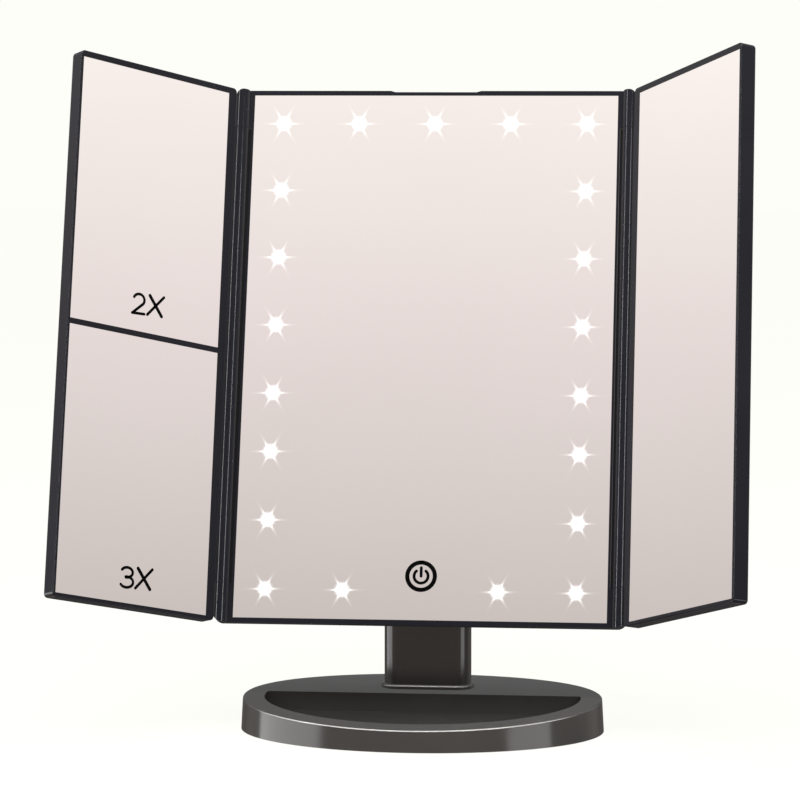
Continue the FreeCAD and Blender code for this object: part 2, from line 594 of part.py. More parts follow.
def make_electronics():
    board = box(-26, 26, BOARD_FRONT, BOARD_BACK, 30, 63)
    holes = [rod(SMALL_BORE_R, V(x, 0, z), V(x, 20, z)) for x, z in BOARD_POSTS]
    parts["control_board"] = on_head(board.cut(holes))
    screws = [screw(V(x, BOARD_BACK, z), V(0, -1, 0), SMALL_HEAD_R, 1.1, SMALL_BORE_R, 4.2)
              for x, z in BOARD_POSTS]
    parts["board_screws"] = on_head(group(screws))
    middle = SWITCH_X - SWITCH_TRAVEL / 2
    housing = box(middle - 6, middle + 6, BOARD_BACK, 13.6, SWITCH_Z - 3, SWITCH_Z + 3)
    parts["switch_housing"] = on_head(housing)
    left = SWITCH_X - KNOB_HALF_W
    right = SWITCH_X + KNOB_HALF_W
    knob = box(left, right, 14.0, CASE_DEPTH + 1.2, SWITCH_Z - 1.5, SWITCH_Z + 1.5)
    grooves = [box(x, x + 0.5, CASE_DEPTH + 0.8, 30, SWITCH_Z - 3, SWITCH_Z + 3)
               for x in [SWITCH_X - 1.25 + i for i in range(3)]]
    parts["switch_knob"] = on_head(knob.cut(grooves))
    shell = box(INLET_X - INLET_HALF_W, INLET_X + INLET_HALF_W, BOARD_BACK, CASE_DEPTH - 0.4,
                SWITCH_Z - INLET_HALF_H, SWITCH_Z + INLET_HALF_H)
    mouth = box(INLET_X - INLET_HALF_W + 0.4, INLET_X + INLET_HALF_W - 0.4, 12, 30,
                SWITCH_Z - INLET_HALF_H + 0.4, SWITCH_Z + INLET_HALF_H - 0.4)
    tongue = box(INLET_X - 2.6, INLET_X + 2.6, 12, CASE_DEPTH - 1.2, SWITCH_Z - 0.35, SWITCH_Z + 0.35)
    parts["charging_inlet"] = on_head(shell.cut(mouth).fuse(tongue).removeSplitter())


def make_wire(route):
    """One lead from the control board to a lamp board, through (x, z) points behind the frame."""
    mid_y = BOARD_FRONT - 1.6
    x0, z0 = route[0]
    x1, z1 = route[-1]
    points = [V(x0, BOARD_FRONT, z0)]
    points += [V(x, mid_y, z) for x, z in route]
    points.append(V(x1, FRAME_DEPTH + BOARD_THICK, z1))
    runs = [rod(WIRE_R, a, b) for a, b in zip(points, points[1:])]
    bends = [Part.makeSphere(WIRE_R, p) for p in points[1:-1]]
    return fuse(runs + bends)


def make_wiring():
    wires = []
    for side in (-1, 1):
        top = [(12, 60), (40, 78), (40, LAMP_TOP_Z - 2)]
        middle = [(23.5, 44), (66, 44)]
        bottom = [(23.5, 34), (36, 20), (36, LAMP_BOTTOM_Z + 3)]
        for route in (top, middle, bottom):
            wires.append(make_wire([(side * x, z) for x, z in route]))
    parts["wiring"] = on_head(group(wires))


def make_centre():
    parts["centre_frame"] = on_head(make_centre_frame())
    make_glass()
    make_lamp_boards()
    parts["rear_cover"] = on_head(make_rear_cover())
    cover_screws = [screw(V(x, COVER_SCREW_SEAT, z), V(0, -1, 0), MAIN_HEAD_R, 1.6, MAIN_BORE_R, 8.0)
                    for x, z in COVER_SCREWS]
    parts["rear_cover_screws"] = on_head(group(cover_screws))
    make_battery_bay()
    make_battery_door()
    make_electronics()
    make_wiring()
    for side, name in ((-1, "left_hinge_pins"), (1, "right_hinge_pins")):
        pins = []
        for end in (-1, 1):
            low = V(side * HINGE_HALF, -HINGE_FORWARD, end * (BARREL_HALF - PIN_IN_BARREL))
            high = V(side * HINGE_HALF, -HINGE_FORWARD, end * (EAR_START + PIN_IN_EAR))
            pins.append(rod(HINGE_PIN_R, low, high))
        parts[name] = on_head(group(pins))


# ---------------------------------------------------------------- wings
WING_WEB_FRONT = WING_FRAME_DEPTH - 1.2
WING_SCREWS = [(x, z) for x in (12.0, 78.0) for z in (-106.0, 106.0)]


def wing_panes(side):
    """The glass rectangles of a wing as (low z, high z): two on the left, one on the right."""
    low = -WING_GLASS_HALF - WING_GLASS_DROP
    high = WING_GLASS_HALF - WING_GLASS_DROP
    if side > 0:
        return [(low, high)]
    middle = (low + high) / 2
    return [(middle + DIVIDER / 2, high), (low, middle - DIVIDER / 2)]


def make_wing_frame(side):
    block = box(WING_START, WING_END, -RIM_PROUD, WING_FRAME_DEPTH, -WING_HALF_H, WING_HALF_H)
    frame = rim_fillet(rounded(block, WING_CORNER_R, V(0, 1, 0)), 0.45, -RIM_PROUD)
    barrel = rod(BARREL_R, V(0, 0, -BARREL_HALF), V(0, 0, BARREL_HALF))
    web = box(0, WING_START + 0.6, 0, BARREL_R, -BARREL_HALF, BARREL_HALF)
    frame = frame.fuse([barrel, web])
    cutters = []
    x0 = WING_GLASS_START - 0.1
    x1 = WING_GLASS_START + WING_GLASS_WIDTH + 0.1
    for low, high in wing_panes(side):
        cutters.append(box(x0, x1, -5, WING_WEB_FRONT, low - 0.1, high + 0.1))
    for end in (-1, 1):
        mouth = V(0, 0, end * BARREL_HALF)
        cutters.append(rod(HINGE_PIN_R + RUNNING_GAP, mouth, mouth - V(0, 0, end * (PIN_IN_BARREL + 0.6))))
    frame = frame.cut(cutters)
    posts = [rod(2.8, V(x, WING_FRAME_DEPTH - 0.4, z), V(x, 4.8, z)) for x, z in WING_SCREWS]
    frame = frame.fuse(posts)
    return frame.cut([rod(SMALL_BORE_R, V(x, 2.8, z), V(x, 8, z)) for x, z in WING_SCREWS]).removeSplitter()


def make_wing_back():
    block = box(WING_START, WING_END, WING_FRAME_DEPTH, WING_THICK, -WING_HALF_H, WING_HALF_H)
    cover = rim_fillet(rounded(block, WING_CORNER_R, V(0, 1, 0)), 1.2, WING_THICK)
    wall = 1.3
    half_h = WING_HALF_H - wall
    cover = cover.cut(box(WING_START + wall, WING_END - wall, 0, WING_THICK - wall, -half_h, half_h))
    bosses = [rod(3.4, V(x, 4.8, z), V(x, WING_THICK - 0.5, z)) for x, z in WING_SCREWS]
    cover = cover.fuse(bosses)
    cutters = [rod(SMALL_BORE_R, V(x, 4, z), V(x, 10, z)) for x, z in WING_SCREWS]
    cutters += [rod(SMALL_HEAD_R + 0.3, V(x, WING_SCREW_SEAT, z), V(x, 10, z)) for x, z in WING_SCREWS]
    return cover.cut(cutters).removeSplitter()


def make_wing(side, name, mirror_names):
    parts[name + "_wing_frame"] = on_wing(make_wing_frame(side), side)
    parts[name + "_wing_back"] = on_wing(make_wing_back(), side)
    tape = []
    x0 = WING_GLASS_START
    x1 = x0 + WING_GLASS_WIDTH
    for mirror_name, (low, high) in zip(mirror_names, wing_panes(side)):
        parts[mirror_name] = on_wing(box(x0, x1, 0, WING_GLASS_THICK, low, high), side)
        for x in (x0 + 18, x1 - 18):
            tape.append(box(x - 10, x + 10, WING_GLASS_THICK, WING_WEB_FRONT, low + 8, high - 8))
    parts[name + "_wing_tape"] = on_wing(group(tape), side)
    screws = [screw(V(x, WING_SCREW_SEAT, z), V(0, -1, 0), SMALL_HEAD_R, 0.9, SMALL_BORE_R, 3.2)
              for x, z in WING_SCREWS]
    parts[name + "_wing_screws"] = on_wing(group(screws), side)


# ---------------------------------------------------------------- the whole mirror
make_base()
make_stem()
make_tilt_hinge()
make_centre()
make_wing(-1, "left", ["left_upper_mirror", "left_lower_mirror"])
make_wing(1, "right", ["right_mirror"])

os.makedirs("parts", exist_ok=True)
for node, shape in parts.items():
    if not shape.isValid():
        print("not valid:", node)
    shape.exportStep(os.path.join("parts", node + ".step"))
print(len(parts), "nodes")
print("tilt axis passes through", V(0, STEM_Y, PIVOT_Z))
for hinge_side in (-1, 1):
    print("hinge line passes through", HEAD.multVec(V(hinge_side * HINGE_HALF, -HINGE_FORWARD, 0)))
half_door = (DOOR_THICK - 0.05) / 2
print("battery door axis passes through", HEAD.multVec(V(0, CASE_DEPTH - half_door, DOOR_LOW + half_door)))
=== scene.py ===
import json
import math

import bpy
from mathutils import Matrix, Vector


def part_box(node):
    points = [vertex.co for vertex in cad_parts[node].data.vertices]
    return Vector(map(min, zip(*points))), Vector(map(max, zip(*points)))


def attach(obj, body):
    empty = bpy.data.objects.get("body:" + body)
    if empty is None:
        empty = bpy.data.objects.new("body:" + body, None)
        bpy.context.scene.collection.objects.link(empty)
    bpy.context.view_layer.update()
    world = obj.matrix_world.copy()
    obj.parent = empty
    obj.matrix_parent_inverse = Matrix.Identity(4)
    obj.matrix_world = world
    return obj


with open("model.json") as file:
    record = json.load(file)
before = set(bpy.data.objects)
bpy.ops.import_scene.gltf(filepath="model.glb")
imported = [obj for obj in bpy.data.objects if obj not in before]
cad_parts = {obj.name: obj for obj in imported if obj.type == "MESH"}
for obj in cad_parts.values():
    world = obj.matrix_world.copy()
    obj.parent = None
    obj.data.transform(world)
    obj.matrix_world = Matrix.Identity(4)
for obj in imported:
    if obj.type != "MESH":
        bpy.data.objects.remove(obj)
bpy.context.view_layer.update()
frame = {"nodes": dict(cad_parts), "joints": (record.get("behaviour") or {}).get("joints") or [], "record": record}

# Looks for the three-panel make-up mirror. Lengths are metres in the CAD frame:
# +X across, -Y to the front, +Z up.
MM = 0.001
IMAGE_SIDE = 800

# ---------------------------------------------------------------- camera, at the photograph's angle
CAMERA_AZIMUTH = 6.33
CAMERA_ELEVATION = 5.03
CAMERA_DISTANCE = 1.693
CAMERA_TARGET = Vector((-0.0099, 0.0, 0.1465))
CAMERA_FOCAL_PIXELS = 3841
SENSOR_MM = 36.0


def aim(obj, target):
    obj.rotation_euler = (target - obj.location).to_track_quat("-Z", "Y").to_euler()


def from_angle(azimuth, elevation, distance, centre):
    """The point at a distance from centre. Azimuth 0 is straight in front, and positive turns right."""
    a = math.radians(azimuth)
    e = math.radians(elevation)
    level = math.cos(e)
    return centre + distance * Vector((math.sin(a) * level, -math.cos(a) * level, math.sin(e)))


def make_camera():
    data = bpy.data.cameras.new("camera")
    data.sensor_width = SENSOR_MM
    data.lens = CAMERA_FOCAL_PIXELS * SENSOR_MM / IMAGE_SIDE
    data.clip_end = 50
    camera = bpy.data.objects.new("camera", data)
    bpy.context.scene.collection.objects.link(camera)
    camera.location = from_angle(CAMERA_AZIMUTH, CAMERA_ELEVATION, CAMERA_DISTANCE, CAMERA_TARGET)
    aim(camera, CAMERA_TARGET)
    bpy.context.scene.camera = camera


# ---------------------------------------------------------------- frame geometry read from the CAD
def joint(name):
    return next(j for j in frame["joints"] if j["name"] == name)


HINGE_UP = Vector(joint("left_wing_fold")["axis"]).normalized()


class Pane:
    """The front face of one mirror: its middle, its directions across, up and out, and its half sizes."""

    def __init__(self, node):
        mesh = frame["nodes"][node].data
        largest = max((p for p in mesh.polygons if p.normal.y < 0), key=lambda p: p.area)
        self.out = largest.normal.normalized()
        self.up = HINGE_UP
        self.across = self.up.cross(self.out).normalized()
        spans = []
        for axis in (self.across, self.up, self.out):
            reach = [v.co.dot(axis) for v in mesh.vertices]
            spans.append((min(reach), max(reach)))
        (x0, x1), (y0, y1), (_, front) = spans
        self.half_width = (x1 - x0) / 2
        self.half_height = (y1 - y0) / 2
        self.centre = self.across * (x0 + x1) / 2 + self.up * (y0 + y1) / 2 + self.out * front

    def point(self, x, y, proud=0.0):
        return self.centre + self.across * x + self.up * y + self.out * proud


# ---------------------------------------------------------------- node helpers
def new_material(name):
    material = bpy.data.materials.new(name)
    material.use_nodes = True
    nodes = material.node_tree.nodes
    nodes.clear()
    output = nodes.new("ShaderNodeOutputMaterial")
    shader = nodes.new("ShaderNodeBsdfPrincipled")
    material.node_tree.links.new(shader.outputs["BSDF"], output.inputs["Surface"])
    return material, shader


def noise(material, scale, detail=3.0, stretch=(1, 1, 1)):
    """A noise pattern fixed to the object. scale is in features per metre."""
    nodes = material.node_tree.nodes
    links = material.node_tree.links
    coordinates = nodes.new("ShaderNodeTexCoord")
    mapping = nodes.new("ShaderNodeMapping")
    mapping.inputs["Scale"].default_value = stretch
    texture = nodes.new("ShaderNodeTexNoise")
    texture.inputs["Scale"].default_value = scale
    texture.inputs["Detail"].default_value = detail
    links.new(coordinates.outputs["Object"], mapping.inputs["Vector"])
    links.new(mapping.outputs["Vector"], texture.inputs["Vector"])
    return texture.outputs["Fac"]


def ramp(material, value, stops):
    node = material.node_tree.nodes.new("ShaderNodeValToRGB")
    elements = node.color_ramp.elements
    while len(elements) < len(stops):
        elements.new(0.5)
    for element, (position, colour) in zip(elements, stops):
        element.position = position
        element.color = (*colour, 1.0)
    material.node_tree.links.new(value, node.inputs["Fac"])
    return node.outputs["Color"]


def spread(material, value, low, high):
    """Stretches a noise value to run from low to high."""
    node = material.node_tree.nodes.new("ShaderNodeMapRange")
    node.inputs["From Min"].default_value = 0.3
    node.inputs["From Max"].default_value = 0.7
    node.inputs["To Min"].default_value = low
    node.inputs["To Max"].default_value = high
    material.node_tree.links.new(value, node.inputs["Value"])
    return node.outputs["Result"]


def bump(material, shader, value, height):
    node = material.node_tree.nodes.new("ShaderNodeBump")
    node.inputs["Strength"].default_value = 1.0
    node.inputs["Distance"].default_value = height
    material.node_tree.links.new(value, node.inputs["Height"])
    material.node_tree.links.new(node.outputs["Normal"], shader.inputs["Normal"])


def plastic(name, dark, light, rough, ior, grain=900.0, grain_height=0.000004):
    """Moulded plastic: slight colour drift, uneven gloss and a very fine skin."""
    material, shader = new_material(name)
    links = material.node_tree.links
    drift = noise(material, 22.0)
    links.new(ramp(material, drift, [(0.3, dark), (0.7, light)]), shader.inputs["Base Color"])
    links.new(spread(material, noise(material, 60.0), rough[0], rough[1]), shader.inputs["Roughness"])
    shader.inputs["IOR"].default_value = ior
    bump(material, shader, noise(material, grain), grain_height)
    return material


# Painted highlight: the light grey colour laid along the base's front crest.
PAINTED_CREST_HIGHLIGHT = (0.36, 0.35, 0.34, 1.0)
# A painted highlight line in the base colour, placed by how far the surface faces up, and how far it has to face
# the front.
CREST_HIGHLIGHT_LIFT = [(0.2, (0, 0, 0)), (0.3, (1, 1, 1)), (0.68, (1, 1, 1)), (0.78, (0, 0, 0))]
CREST_HIGHLIGHT_FRONT_START = -0.55
CREST_HIGHLIGHT_FRONT_FULL = -0.72


def base_material_with_painted_highlight():
    """Dark gunmetal plastic with a thin painted highlight line, light grey in its colour, where its front edges
    turn over.
    """
    dark = (0.023, 0.0220, 0.0205)
    light = (0.029, 0.0275, 0.0255)
    material = plastic("gunmetal_plastic_painted_highlight", dark, light, (0.12, 0.18), 1.42, 350.0, 0.000001)
    nodes = material.node_tree.nodes
    links = material.node_tree.links
    shader = next(n for n in nodes if n.type == "BSDF_PRINCIPLED")
    plain = shader.inputs["Base Color"].links[0].from_socket
    facing = nodes.new("ShaderNodeSeparateXYZ")
    links.new(nodes.new("ShaderNodeNewGeometry").outputs["Normal"], facing.inputs[0])
    crest_highlight_by_lift = ramp(material, facing.outputs["Z"], CREST_HIGHLIGHT_LIFT)
    front = nodes.new("ShaderNodeMapRange")
    front.inputs["From Min"].default_value = CREST_HIGHLIGHT_FRONT_START
    front.inputs["From Max"].default_value = CREST_HIGHLIGHT_FRONT_FULL
    links.new(facing.outputs["Y"], front.inputs["Value"])
    painted_highlight_mask = nodes.new("ShaderNodeMath")
    painted_highlight_mask.operation = "MULTIPLY"
    links.new(crest_highlight_by_lift, painted_highlight_mask.inputs[0])
    links.new(front.outputs["Result"], painted_highlight_mask.inputs[1])
    # Painted highlight: the mask turns the base colour light grey along the crest.
    with_painted_highlight = nodes.new("ShaderNodeMix")
    with_painted_highlight.data_type = "RGBA"
    links.new(painted_highlight_mask.outputs[0], with_painted_highlight.inputs[0])
    links.new(plain, with_painted_highlight.inputs[6])
    with_painted_highlight.inputs[7].default_value = PAINTED_CREST_HIGHLIGHT
    links.new(with_painted_highlight.outputs[2], shader.inputs["Base Color"])
    return material


def metal(name, dark, light, rough, stretch=(1, 1, 1)):
    material, shader = new_material(name)
    links = material.node_tree.links
    grain = noise(material, 700.0, 4.0, stretch)
    links.new(ramp(material, grain, [(0.3, dark), (0.7, light)]), shader.inputs["Base Color"])
    links.new(spread(material, grain, rough[0], rough[1]), shader.inputs["Roughness"])
    shader.inputs["Metallic"].default_value = 1.0
    return material


SILVER_TINT = [(0.3, (0.955, 0.955, 0.95)), (0.7, (0.975, 0.972, 0.972))]


def silvered(name):
    """Silvered glass with a faint drift in tint and polish."""
    material, shader = new_material(name)
    links = material.node_tree.links
    tint = ramp(material, noise(material, 9.0, 2.0), SILVER_TINT)
    links.new(tint, shader.inputs["Base Color"])
    links.new(spread(material, noise(material, 30.0), 0.004, 0.014), shader.inputs["Roughness"])
    shader.inputs["Metallic"].default_value = 1.0
    return material, shader


def glow_material(name, colour, strength):
    """A frosted surface that gives off light of its own colour."""
    material, shader = new_material(name)
    links = material.node_tree.links
    frost = ramp(material, noise(material, 1200.0), [(0.2, colour), (0.8, (1.0, 1.0, 1.0))])
    links.new(frost, shader.inputs["Emission Color"])
    links.new(frost, shader.inputs["Base Color"])
    shader.inputs["Emission Strength"].default_value = strength
    shader.inputs["Roughness"].default_value = 0.35
    return material


FLOOR_GLOW = 0.93
FLOOR_TINT = [(0.3, (0.055, 0.055, 0.052)), (0.7, (0.060, 0.060, 0.057))]


def floor_material():
    """A pale floor that is mostly lit from within, so the lights leave no patches on it."""
    material, shader = new_material("pale_floor")
    links = material.node_tree.links
    links.new(ramp(material, noise(material, 3.0), FLOOR_TINT), shader.inputs["Base Color"])
    shader.inputs["Roughness"].default_value = 0.9
    shader.inputs["Specular IOR Level"].default_value = 0.0
    shader.inputs["Emission Color"].default_value = (1.0, 1.0, 0.955, 1.0)
    shader.inputs["Emission Strength"].default_value = FLOOR_GLOW
    return material


WINDOW_GLOW = 0.55
CHIP_GLOW = 1.5
FOAM_GRAIN = 1500.0
FOAM_DEPTH = 0.00006
MATERIALS = {
    "frame_black": plastic(
        "black_gloss_plastic", (0.0035, 0.004, 0.0065), (0.005, 0.0058, 0.009), (0.09, 0.15), 1.28),
    "base_gunmetal": base_material_with_painted_highlight(),
    "inner_plastic": plastic(
        "inner_moulding", (0.03, 0.03, 0.032), (0.042, 0.042, 0.044), (0.45, 0.6), 1.46),
    "mirror_glass": silvered("silvered_glass")[0],
    "lamp_window": glow_material("lit_window", (1.0, 0.99, 0.97), WINDOW_GLOW),
    "lamp_chip": glow_material("lamp_phosphor", (0.95, 0.8, 0.35), CHIP_GLOW),
    "circuit_board": plastic(
        "solder_mask", (0.008, 0.07, 0.025), (0.012, 0.10, 0.035), (0.3, 0.42), 1.5, 400.0, 0.00002),
    "bright_steel": metal(
        "plated_steel", (0.42, 0.42, 0.43), (0.58, 0.58, 0.59), (0.2, 0.34), (1, 1, 8)),
    "iron_weight": metal("raw_iron", (0.07, 0.068, 0.065), (0.12, 0.117, 0.11), (0.55, 0.75)),
    "foam_tape": plastic(
        "white_foam", (0.7, 0.7, 0.67), (0.8, 0.8, 0.77), (0.8, 0.95), 1.3, FOAM_GRAIN, FOAM_DEPTH),
    "soft_pad": plastic(
        "black_foam", (0.012, 0.012, 0.012), (0.02, 0.02, 0.02), (0.8, 0.95), 1.3, FOAM_GRAIN, FOAM_DEPTH),
    "washer_nylon": plastic("nylon", (0.55, 0.54, 0.5), (0.65, 0.64, 0.6), (0.35, 0.5), 1.5),
    "cell_wrap": plastic("cell_sleeve", (0.02, 0.03, 0.05), (0.03, 0.045, 0.07), (0.2, 0.3), 1.5),
    "copper_pad": metal("copper_foil", (0.6, 0.3, 0.16), (0.75, 0.4, 0.24), (0.25, 0.4)),
    "wire_cover": plastic(
        "wire_insulation", (0.25, 0.012, 0.01), (0.32, 0.02, 0.016), (0.35, 0.45), 1.45),
}
INK = plastic(
    "black_print", (0.0015, 0.0015, 0.0015), (0.003, 0.003, 0.003), (0.6, 0.7), 1.0, 2500.0, 0.000002)
# Painted shade: the inlet's steel is coloured dark in place of the head round it. The head is hidden from
# reflections, so bright metal there would show the front lights.
INLET_SHADED_STEEL = metal("steel_with_painted_shade", (0.09, 0.09, 0.092), (0.13, 0.13, 0.132), (0.6, 0.7))


def dress_cad_nodes():
    slot_of = {s["node"]: s["material_slot"] for s in frame["record"]["subparts"]}
    for name, obj in frame["nodes"].items():
        material = INLET_SHADED_STEEL if name == "charging_inlet" else MATERIALS[slot_of[name]]
        if not obj.material_slots:
            obj.data.materials.append(material)
        for material_slot in obj.material_slots:
            material_slot.material = material


# ---------------------------------------------------------------- printed marks
MARK_PROUD = 0.01 * MM
MARK_THICK = 0.04 * MM
CAP_STEPS = 8


def arc(cx, cy, half_width, half_height, start, end, steps):
    """Points along an arc in millimetres. Angles are degrees from the right, turning up."""
    points = []
    for i in range(steps + 1):
        a = math.radians(start + (end - start) * i / steps)
        points.append((cx + half_width * math.cos(a), cy + half_height * math.sin(a)))
    return points


def outline(points, width):
    """The edge of a stroke with round ends that follows the points."""
    path = [Vector(p) for p in points]
    tangents = []
    for i in range(len(path)):
        before = path[max(i - 1, 0)]
        after = path[min(i + 1, len(path) - 1)]
        tangents.append((after - before).normalized())
    half = width / 2
    left = [p + half * Vector((-t.y, t.x)) for p, t in zip(path, tangents)]
    right = [p - half * Vector((-t.y, t.x)) for p, t in zip(path, tangents)]

    def cap(centre, direction):
        start = math.atan2(direction.y, direction.x) + math.pi / 2
        turns = [start - math.pi * i / CAP_STEPS for i in range(1, CAP_STEPS)]
        return [centre + half * Vector((math.cos(a), math.sin(a))) for a in turns]

    end_cap = cap(path[-1], tangents[-1])
    start_cap = cap(path[0], -tangents[0])
    return left, end_cap, right[::-1], start_cap


def stroke_mesh(vertices, faces, pane, points, width):
    """Adds one closed flat stroke, a strip of quads with fans at its ends, to the vertex and face lists."""
    left, end_cap, right, start_cap = outline(points, width)
    right = right[::-1]
    count = len(left)
    rim = left + end_cap + right[::-1] + start_cap
    base = len(vertices)
    total = len(rim)
    for proud in (MARK_PROUD, MARK_PROUD + MARK_THICK):
        vertices += [pane.point(p.x * MM, p.y * MM, proud) for p in rim]
    near = base + total

    def back_index(i):
        return base + count + len(end_cap) + (count - 1 - i)

    strip = [(base + i, back_index(i), back_index(i + 1), base + i + 1) for i in range(count - 1)]
    end_fan = [base + count - 1 + i for i in range(len(end_cap) + 2)]
    start_fan = [base + count + len(end_cap) + count - 1 + i for i in range(len(start_cap) + 1)] + [base]
    bottom = strip + [tuple(end_fan[::-1]), tuple(start_fan[::-1])]
    faces += bottom
    faces += [tuple(i + total for i in face[::-1]) for face in bottom]
    faces += [(base + i, base + (i + 1) % total, near + (i + 1) % total, near + i) for i in range(total)]


def new_piece(name, vertices, faces, material):
    mesh = bpy.data.meshes.new(name)
    mesh.from_pydata(vertices, [], faces)
    mesh.materials.append(material)
    obj = bpy.data.objects.new(name, mesh)
    bpy.context.scene.collection.objects.link(obj)
    return obj


def make_mark(name, pane, strokes, body):
    vertices = []
    faces = []
    for points, width in strokes:
        stroke_mesh(vertices, faces, pane, points, width)
    obj = new_piece(name, vertices, faces, INK)
    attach(obj, body)
    return obj


# Millimetres. BASELINE_RISE is how much the figures' foot line climbs for each millimetre across.
DIGIT_HEIGHT = 8.8
STROKE = 1.3
HEAVY_STROKE = 1.6
BASELINE_RISE = 0.057
TOUCH_MARK_X = 0.4
# How far each power mark stands from the middle of its pane, and from the pane's lower edge.
POWER_MARKS = (("left_upper_mirror", "two", 0.3, 8.2), ("left_lower_mirror", "three", 1.1, 7.1))


def make_marks():
    centre = Pane("centre_mirror")
    x = TOUCH_MARK_X
    low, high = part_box("touch_electrode")
    y = ((low + high) / 2 - centre.centre).dot(centre.up) / MM
    ring = (arc(x, y, 6.1, 6.1, 90, 450, 96), 1.9)
    bow = (arc(x, y, 3.1, 3.1, 132, 408, 60), 1.3)
    bar = ([(x, y), (x, y + 3.8)], 1.3)
    marks = [make_mark("touch_mark", centre, [ring, bow, bar], "head")]
    for node, digit, x, low in POWER_MARKS:
        pane = Pane(node)
        strokes = magnifier(digit, x, low - pane.half_height / MM)
        marks.append(make_mark("power_of_" + digit, pane, strokes, "left_wing"))
    return marks


def magnifier(digit, x, y):
    """The strokes of a figure and a multiplication sign, with (x, y) at the middle of their foot."""
    h = DIGIT_HEIGHT
    middle = x - 4.3
    if digit == "two":
        hook = arc(middle, y + h - 2.7, 2.9, 2.7, 155, -35, 24)
        figure = [(hook + [(middle - 3.2, y)], STROKE), ([(middle - 3.3, y), (middle + 3.1, y)], STROKE)]
    else:
        top = arc(middle, y + h - 2.2, 3.0, 2.2, 150, -100, 24)
        low = arc(middle, y + 2.35, 3.4, 2.35, 100, -150, 24)
        figure = [(top, STROKE), (low, STROKE)]
    falling = ([(x + 1.4, y + h), (x + 8.0, y)], HEAVY_STROKE)
    rising = ([(x + 0.4, y), (x + 8.9, y + h)], STROKE)
    strokes = figure + [falling, rising]

    def climb(points):
        return [(px, py + BASELINE_RISE * (px - x)) for px, py in points]

    return [(climb(points), width) for points, width in strokes]


# ---------------------------------------------------------------- lamps
CORE_GLOW = 500.0
# The lamp's own light from its rim (0) to its middle (1), as a share of CORE_GLOW.
GLOW_STOPS = [(0.0, (0.0, 0.0, 0.0)), (0.12, (0.0001, 0.0001, 0.0001)), (0.26, (0.0005, 0.0005, 0.0005)),
              (0.42, (0.0017, 0.0017, 0.0017)), (0.86, (0.004, 0.004, 0.004)), (0.90, (1.0, 1.0, 0.97))]
GLOW_R = 4.2 * MM
GLOW_RISE = 0.03 * MM
GLOW_RINGS = 10
GLOW_SIDES = 32


def lamp_centres():
    """The middle of each lit window's front face."""
    mesh = frame["nodes"]["lamp_windows"].data
    out = Pane("centre_mirror").out
    parent = list(range(len(mesh.vertices)))

    def root(i):
        while parent[i] != i:
            parent[i] = parent[parent[i]]
            i = parent[i]
        return i

    for edge in mesh.edges:
        a, b = (root(i) for i in edge.vertices)
        parent[a] = b
    groups = {}
    for i, vertex in enumerate(mesh.vertices):
        groups.setdefault(root(i), []).append(vertex.co)
    centres = []
    for points in groups.values():
        middle = sum(points, Vector()) / len(points)
        front = max(p.dot(out) for p in points)
        centres.append(middle + out * (front - middle.dot(out)))
    return centres


def make_lamp_glow():
    """A thin rounded disc of light over each window. Its glow attribute runs from 0 at its rim to 1."""
    pane = Pane("centre_mirror")
    vertices = []
    faces = []
    glow = []
    for centre in lamp_centres():
        base = len(vertices)
        for ring in range(GLOW_RINGS):
            radius = GLOW_R * (1 - ring / GLOW_RINGS)
            rise = GLOW_RISE * (1 - (radius / GLOW_R) ** 2) ** 2
            for side in range(GLOW_SIDES):
                turn = 2 * math.pi * side / GLOW_SIDES
                across = pane.across * math.cos(turn) + pane.up * math.sin(turn)
                vertices.append(centre + across * radius + pane.out * (rise + MARK_PROUD))
                glow.append(ring / GLOW_RINGS)
        vertices.append(centre + pane.out * (GLOW_RISE + MARK_PROUD))
        glow.append(1.0)
        top = len(vertices) - 1
        for ring in range(GLOW_RINGS - 1):
            for side in range(GLOW_SIDES):
                a = base + ring * GLOW_SIDES + side
                b = base + ring * GLOW_SIDES + (side + 1) % GLOW_SIDES
                faces.append((a, b, b + GLOW_SIDES, a + GLOW_SIDES))
        last = base + (GLOW_RINGS - 1) * GLOW_SIDES
        faces += [(last + side, last + (side + 1) % GLOW_SIDES, top) for side in range(GLOW_SIDES)]
        faces.append(tuple(base + side for side in reversed(range(GLOW_SIDES))))
    obj = new_piece("lamp_glow", vertices, faces, glow_disc_material())
    attribute = obj.data.attributes.new("glow", "FLOAT", "POINT")
    attribute.data.foreach_set("value", glow)
    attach(obj, "head")
    return obj


def glow_disc_material():
    """The panes' own silver with the lamp's light added, so the glow fades into the mirror."""
    material, shader = silvered("lamp_light")
    nodes = material.node_tree.nodes
    links = material.node_tree.links
    attribute = nodes.new("ShaderNodeAttribute")
    attribute.attribute_name = "glow"
    light = ramp(material, attribute.outputs["Fac"], GLOW_STOPS)
    links.new(light, shader.inputs["Emission Color"])
    shader.inputs["Emission Strength"].default_value = CORE_GLOW
    return material


# ---------------------------------------------------------------- studio
def make_floor():
    half = 6.0
    mesh = bpy.data.meshes.new("floor")
    corners = [(-half, -half, 0), (half, -half, 0), (half, half, 0), (-half, half, 0)]
    mesh.from_pydata(corners, [], [(0, 1, 2, 3)])
    mesh.materials.append(floor_material())
    floor = bpy.data.objects.new("floor", mesh)
    bpy.context.scene.collection.objects.link(floor)
    floor.visible_glossy = False
    floor.visible_shadow = False


def area_light(name, azimuth, elevation, distance, width, height, power, target):
    data = bpy.data.lights.new(name, "AREA")
    data.shape = "RECTANGLE"
    data.size = width
    data.size_y = height
    data.energy = power
    light = bpy.data.objects.new(name, data)
    bpy.context.scene.collection.objects.link(light)
    light.location = from_angle(azimuth, elevation, distance, target)
    light.visible_camera = False
    aim(light, target)


